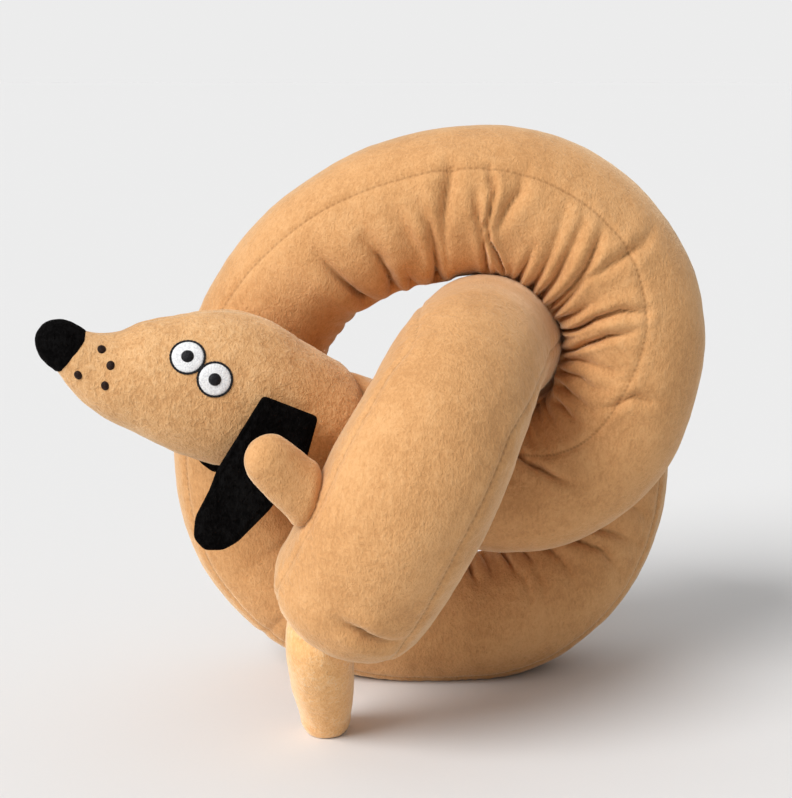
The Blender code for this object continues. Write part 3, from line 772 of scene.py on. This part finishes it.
def head_spot(x, z):
    """The place on the head's near side at x, z, with axes along its surface."""
    start = Vector(to_metres((x, -130.0, z)))
    away = Vector((0, 1, 0))
    hits = []
    for dx, dz in ((0, 0), (-5, 0), (5, 0), (0, -5), (0, 5)):
        place = start + Vector((dx, 0, dz)) * MM
        hits.append(np.array(HEAD_TREE.ray_cast(place, away)[0]))
    middle, left_hit, right_hit, low_hit, high_hit = hits
    normal = unit(np.cross(right_hit - left_hit, high_hit - low_hit))
    if normal[1] > 0:
        normal = -normal
    right = unit(np.cross((0.0, 0.0, 1.0), normal))
    if right[0] < 0:
        right = -right
    above = np.cross(normal, right)
    if above[2] < 0:
        above = -above
    return middle / MM - CENTRE, right, above, normal


def stitched_disc(name, x, z, radius, height, crown, material, squeeze=1.0):
    """A padded patch of satin stitch laid on the head."""
    spot, right, above, normal = head_spot(x, z)
    ring = turns(DISC_SIDES)
    rows = []
    for t in (1.0, 1.0, 0.985, 0.94, 0.86, 0.74, 0.6, 0.45, 0.3, 0.15):
        if rows:
            lift = height * math.sqrt(max(0.0, 1 - t ** 8)) + crown * (1 - t * t)
        else:
            lift = DISC_ROOT
        row = []
        for a in ring:
            point = spot + radius * t * (right * math.cos(a) + above * squeeze * math.sin(a))
            row.append(on_head(point, normal, lift))
        rows.append(row)
    first = on_head(spot, normal, DISC_ROOT)
    last = on_head(spot, normal, height + crown)
    return closed_loft(name, rows, first, last, material)


def stitched_ring(name, x, z, radius, wire, material):
    """A round outline of backstitch: a cord with a dip at each stitch."""
    spot, right, above, normal = head_spot(x, z)
    count = 144
    tube = 10
    stitches = 30
    points = []
    for i in range(count):
        a = 2 * math.pi * i / count
        out = right * math.cos(a) + above * math.sin(a)
        middle = on_head(spot + out * radius, normal, 0.3)
        dip = 1 - 0.28 * abs(math.cos(a * stitches / 2)) ** 8
        for k in range(tube):
            b = 2 * math.pi * k / tube
            points.append(middle + wire * dip * (out * math.cos(b) + normal * 0.8 * math.sin(b)))
    faces = []
    for i in range(count):
        a, b = i * tube, (i + 1) % count * tube
        for k in range(tube):
            n = (k + 1) % tube
            faces.append((a + k, a + n, b + n, b + k))
    return new_piece(name, points, faces, material)


face_parts = []
for which, x, z in (("upper", -97.4, 199.2), ("lower", -84.7, 188.9)):
    white = stitched_disc(f"eye_{which}_white", x, z, 7.7, 0.7, 0.5, WHITE)
    line = stitched_ring(f"eye_{which}_outline", x, z, 8.0, 0.58, INK)
    pupil = stitched_disc(f"eye_{which}_pupil", x, z, 3.2, 1.6, 0.9, INK)
    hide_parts(f"eye_white_{which}")
    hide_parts(f"eye_line_{which}")
    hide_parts(f"pupil_{which}")
    face_parts += [white, line, pupil]
for k, (x, z) in enumerate([(-138.1, 202.3), (-133.5, 195.3), (-149.0, 190.5), (-136.2, 185.8)], 1):
    dot = stitched_disc(f"muzzle_dot_{k}", x, z, 2.0, 0.5, 0.5, BROWN, squeeze=1.12)
    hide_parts(f"freckle_{k}")
    face_parts.append(dot)


def ear_piece(name, outline, out, thick, curl=0.0):
    """A padded flap: its outline, the way it faces, half its thickness and how far its tip curls out."""
    outline = np.array(outline, float)
    closed = np.vstack([outline, outline[:1]])
    hops = np.linalg.norm(np.diff(closed, axis=0), axis=1)
    at = np.concatenate([[0.0], np.cumsum(hops)])
    where = np.linspace(0, at[-1], 141)[:-1]
    edge = np.stack([np.interp(where, at, closed[:, k]) for k in range(3)], axis=1)
    for _ in range(2):
        edge = 0.25 * np.roll(edge, 1, 0) + 0.5 * edge + 0.25 * np.roll(edge, -1, 0)
    middle = edge.mean(axis=0)
    span = np.linalg.norm(edge - middle, axis=1)
    shares = np.concatenate([np.linspace(0.05, 1.0, 26)[:-1], [0.985, 1.0]])
    rows = []
    for side, order in ((1, shares), (-1, shares[::-1])):
        for t in order:
            row = middle + (edge - middle) * t
            depth = span * (1 - t)
            full = thick * (0.45 + 0.55 * hermite(depth / 7.0)) * np.sqrt(hermite(depth / 1.8))
            dent = 0.45 * ridge(depth - 3.4, 1.0)
            wave = 0.7 * lattice_noise(row, 19.0, 41) + 0.2 * lattice_noise(row, 3.4, 42 + side)
            bow = curl * hermite((150 - row[:, 2]) / 40.0)
            rows.append(row + np.outer(side * (full - dent) + wave + bow, out))
    rows = np.array(rows)
    return closed_loft(name, rows, rows[0].mean(axis=0), rows[-1].mean(axis=0), BLACK)


NEAR_EAR = [
    (-62, -81.5, 182), (-36.5, -77.5, 171), (-42, -79.6, 151), (-60, -82.6, 127),
    (-75, -83.6, 112), (-82, -83.8, 108), (-91, -83.8, 108), (-96, -83.8, 114),
    (-95, -83.8, 124), (-88, -83.6, 137), (-84, -83.4, 147), (-72, -82.8, 166),
]
FAR_EAR = [
    (-101, -20.3, 185), (-80, -14.3, 181), (-78, -13, 160), (-77, -12.2, 141), (-80, -12.2, 130),
    (-87, -12.6, 126), (-95, -13.2, 127.5), (-101, -14, 132.5), (-104, -15.2, 141), (-104, -18, 164),
]
near_ear = ear_piece(
    "ear_near_flap", NEAR_EAR, unit(np.array((0.14, -0.99, 0.0))), 1.9, curl=1.6
)
far_ear = ear_piece("ear_far_flap", FAR_EAR, unit(np.array((-0.2, 0.98, 0.0))), 1.4)


def stub(name, base, tip, radii, flat, seam, material, seed):
    """A stuffed leg or tail sewn on: a base that meets the body, a full middle and a rounded tip."""
    base, tip = np.array(base, float), np.array(tip, float)
    axis = unit(tip - base)
    length = np.linalg.norm(tip - base)
    across = np.cross(axis, (0.0, 1.0, 0.0))
    if np.linalg.norm(across) < 0.2:
        across = np.cross(axis, (1.0, 0.0, 0.0))
    across = unit(across)
    other = unit(np.cross(axis, across))
    angle = turns(STUB_SIDES)
    last = radii[-1]
    straight = length - last * 0.95
    places = [(t, 0.0) for t in np.linspace(0, straight, 26)]
    places += [(straight, a) for a in np.radians(np.linspace(0, 88, 18)[1:])]
    rows = []
    for along, dome in places:
        radius = np.interp(along / length, np.linspace(0, 0.78, len(radii)), radii)
        centre = base + axis * (along + last * 0.95 * math.sin(dome))
        if dome:
            radius = last * math.cos(dome)
        ring = centre + radius * (
            across * np.cos(angle)[:, None] + other * flat * np.sin(angle)[:, None]
        )
        rows.append(ring)
    rows = np.array(rows)
    # the base follows the body's skin
    hits = []
    for point in rows[0]:
        start = Vector(to_metres(point + axis * 30.0))
        found = BODY_TREE.ray_cast(start, -Vector(axis))[0]
        if found is None or (np.array(found) / MM - CENTRE - base) @ axis < -REACH:
            # beside the body or too far up it: the base bends in to the nearest skin
            found = BODY_TREE.find_nearest(Vector(to_metres(point - axis * REACH)))[0]
        hits.append(np.array(found) / MM - CENTRE - axis * SINK)
    hits = np.array(hits)
    depth = ((hits - base) @ axis)[None, :]
    here = (rows - base) @ axis
    total = here[-1].max()
    squeezed = depth + (here / total) * (total - depth)
    rows = rows + (squeezed - here)[..., None] * axis
    sideways = (hits - rows[0]) - ((hits - rows[0]) @ axis)[:, None] * axis
    rows = rows + sideways[None] * ridge(squeezed - depth, 9.0)[..., None]
    out = unit(rows - rows.mean(axis=1, keepdims=True))
    off = squeezed - depth - SINK
    lift = 0.5 * lattice_noise(rows, 15.0, seed) + 0.2 * lattice_noise(rows, 3.4, seed + 1)
    tuck = 1.5 * ridge(off, 2.0) - 0.5 * ridge(off - 5.0, 3.0)
    lift = lift - seam * tuck
    rows = rows + out * lift[..., None]
    rows[..., 2] = np.maximum(rows[..., 2], 0.0)
    last_point = base + axis * length
    last_point[2] = max(last_point[2], 0.0)
    obj = closed_loft(name, rows, rows[0].mean(axis=0), last_point, material)
    # painted shade round the base, where the stub is sewn into the body's skin
    store(obj, "fold", (seam * 2.6 * ridge(off, 2.2)).ravel())
    return obj


# base, tip, radii from base to tip, flatness, and the body it is sewn to
LIMBS = {
    "hind_leg_near": ((-40, -95, 136), (-65, -106.5, 165), (13.8, 13.6, 13.2, 12.2), 0.92, "rump"),
    "hind_leg_far": ((27, -55, 121), (26, -30, 80), (9.6, 9.6, 9.6, 9.4), 1.0, "rump"),
    "front_leg_near": ((9, -18, 99), (15, -22, 60), (10.7, 10.7, 10.6, 10.2), 1.0, "trunk"),
    "front_leg_far": ((12, 35, 111), (14, 72, 95), (11.5, 11.5, 11.5, 11.2), 1.0, "trunk"),
    "tail": ((-37, -77, 54), (-36, -42, -3), (15.8, 16.4, 15.6, 12.8), 1.0, "rump"),
}
limbs = {}
for k, (name, (base, tip, radii, flat, body)) in enumerate(LIMBS.items()):
    # the tail wears the paler copy of the plush, which is painted light
    seam, fur = (0.3, PLUSH_PAINTED_LIT) if name == "tail" else (1.0, PLUSH)
    limbs[name] = stub(f"{name}_plush", base, tip, radii, flat, seam, fur, 60 + 3 * k)

# ---------------------------------------------------------------- the part's own pieces hidden, the new ones fixed to their bodies

pivot, pivot_dir = (v[0] for v in PATH.frame(np.array([NECK_AT]))[:2])
hinge, hinge_dir = (v[0] for v in PATH.frame(np.array([RUMP_HINGE]))[:2])


def along(point, direction, distance):
    """A place beside the point, in metres in the part's frame."""
    return tuple(to_metres(point + direction * distance))


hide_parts("neck_back_panel", "neck_belly_panel", "neck_stuffing", "neck_core")
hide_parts("loop_back_panel", "loop_belly_panel", "loop_stuffing")
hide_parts("middle_back_panel", "middle_belly_panel", "middle_stuffing")
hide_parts("rump_back_panel", "rump_belly_panel", "rump_stuffing")
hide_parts("head_near_side", "head_far_side", "head_stuffing")
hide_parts("nose")
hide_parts("near_ear_front", "near_ear_lining")
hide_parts("far_ear_front", "far_ear_lining")
for name, obj in limbs.items():
    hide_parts(f"{name}_skin", f"{name}_stuffing")

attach(loop_tube, "trunk")
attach(middle_tube, "trunk")
for obj in face_parts + [nose]:
    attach(obj, "head")
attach(near_ear, "near_ear")
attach(far_ear, "far_ear")
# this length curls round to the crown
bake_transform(neck_tube)
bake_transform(head)
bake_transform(rump_tube)
for name, (base, tip, radii, flat, body) in LIMBS.items():
    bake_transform(limbs[name])


def flat_area(outline):
    """Square metres inside an outline given in millimetres."""
    points = np.array(outline, float)
    total = np.zeros(3)
    for a, b in zip(points, np.roll(points, -1, 0)):
        total += np.cross(a - points[0], b - points[0]) / 2
    return float(np.linalg.norm(total)) * MM * MM


min(flat_area(NEAR_EAR), 0.040 * 0.088)
min(flat_area(FAR_EAR), 0.026 * 0.066)

# ---------------------------------------------------------------- floor, light and camera

def stage():
    """A wide pale floor that runs out to the backdrop's brightness."""
    mesh = bpy.data.meshes.new("floor")
    half, below = 40.0, -0.0002
    corners = [(-half, -half, below), (half, -half, below), (half, half, below), (-half, half, below)]
    mesh.from_pydata(corners, [], [(0, 1, 2, 3)])
    obj = bpy.data.objects.new("floor", mesh)
    bpy.context.scene.collection.objects.link(obj)
    g = Graph("studio_paper")
    grain = g.noise(700, 2, 0.5)
    colour = g.mix(grain, (0.758, 0.758, 0.758), (0.774, 0.774, 0.774))
    mesh.materials.append(
        g.finish(colour, 0.95, g.bump(grain, 0.00004, 0.2), Specular_IOR_Level=0.0)
    )


def sun(name, place, power, spread):
    """A soft sun that shines from the direction of place onto the part; spread is in degrees."""
    data = bpy.data.lights.new(name, "SUN")
    data.energy = power
    data.angle = math.radians(spread)
    obj = bpy.data.objects.new(name, data)
    bpy.context.scene.collection.objects.link(obj)
    obj.location = place
    obj.rotation_euler = (-Vector(place)).to_track_quat("-Z", "Y").to_euler()




def studio_world():
    """Room light, brightest overhead and darkest on the viewer's side, and an even backdrop."""
    world = bpy.data.worlds.new("studio")
    world.use_nodes = True
    nodes, link = world.node_tree.nodes, world.node_tree.links.new

    def level_along(axis, low, darkest, brightest):
        made = nodes.new("ShaderNodeMapRange")
        made.inputs["From Min"].default_value = low
        made.inputs["To Min"].default_value = darkest
        made.inputs["To Max"].default_value = brightest
        link(split.outputs[axis], made.inputs["Value"])
        return made.outputs["Result"]

    direction = nodes.new("ShaderNodeTexCoord")
    split = nodes.new("ShaderNodeSeparateXYZ")
    link(direction.outputs["Generated"], split.inputs[0])
    level = nodes.new("ShaderNodeMath")
    level.operation = "MULTIPLY"
    link(level_along("Z", 0.0, 0.12, 0.66), level.inputs[0])
    link(level_along("Y", -1.0, 0.55, 1.45), level.inputs[1])
    ambient = nodes["Background"]
    link(level.outputs[0], ambient.inputs["Strength"])
    backdrop = nodes.new("ShaderNodeBackground")
    backdrop.inputs["Strength"].default_value = 0.84
    for node in (ambient, backdrop):
        node.inputs["Color"].default_value = (1.0, 1.0, 1.0, 1.0)
    seen = nodes.new("ShaderNodeLightPath")
    either = nodes.new("ShaderNodeMixShader")
    link(seen.outputs["Is Camera Ray"], either.inputs[0])
    link(ambient.outputs[0], either.inputs[1])
    link(backdrop.outputs[0], either.inputs[2])
    link(either.outputs[0], nodes["World Output"].inputs["Surface"])
    bpy.context.scene.world = world


def add_camera(aim, distance, tilt):
    """A 70 mm view of the point aim from the front, tilted down."""
    lens = bpy.data.cameras.new("camera")
    lens.lens = 70.0
    lens.sensor_width = 36.0
    camera = bpy.data.objects.new("camera", lens)
    bpy.context.scene.collection.objects.link(camera)
    camera.location = aim + Vector((0, -distance * math.cos(tilt), distance * math.sin(tilt)))
    camera.rotation_euler = (aim - camera.location).to_track_quat("-Z", "Y").to_euler()
    bpy.context.scene.camera = camera


stage()
sun("key", (-0.73, -0.68, 0.86), 2.75, 30)
sun("side_fill", (-1.0, -0.22, 0.12), 0.9, 50)
studio_world()
add_camera(Vector(to_metres((0.0, 0.0, 163.0))), 0.807, math.radians(12))
bpy.context.scene.view_settings.view_transform = "Standard"
